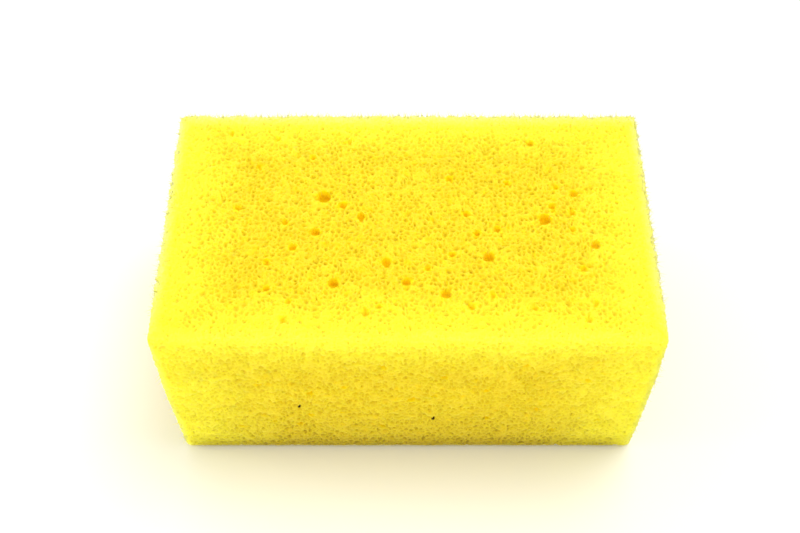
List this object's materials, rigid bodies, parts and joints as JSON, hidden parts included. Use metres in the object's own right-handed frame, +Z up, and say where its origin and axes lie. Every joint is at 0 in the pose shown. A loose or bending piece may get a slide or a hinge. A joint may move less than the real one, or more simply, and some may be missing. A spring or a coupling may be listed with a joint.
{
  "type": "cleaning sponge",
  "caption": "Plain yellow block sponge of open-cell foam, cut square on all six sides with slightly rounded edges and open bubbles in its faces.",
  "frame": {"origin": "middle of the bottom face, on which the block rests", "axes": "+X along the length, +Y from the front face to the back face, +Z upward through the height"},
  "size_m": [0.12, 0.07, 0.055],
  "materials": {
    "yellow_foam": "matte open-cell foam"
  },
  "bodies": {
    "root": {"foam_block": "yellow_foam"}
  },
  "joints": []
}
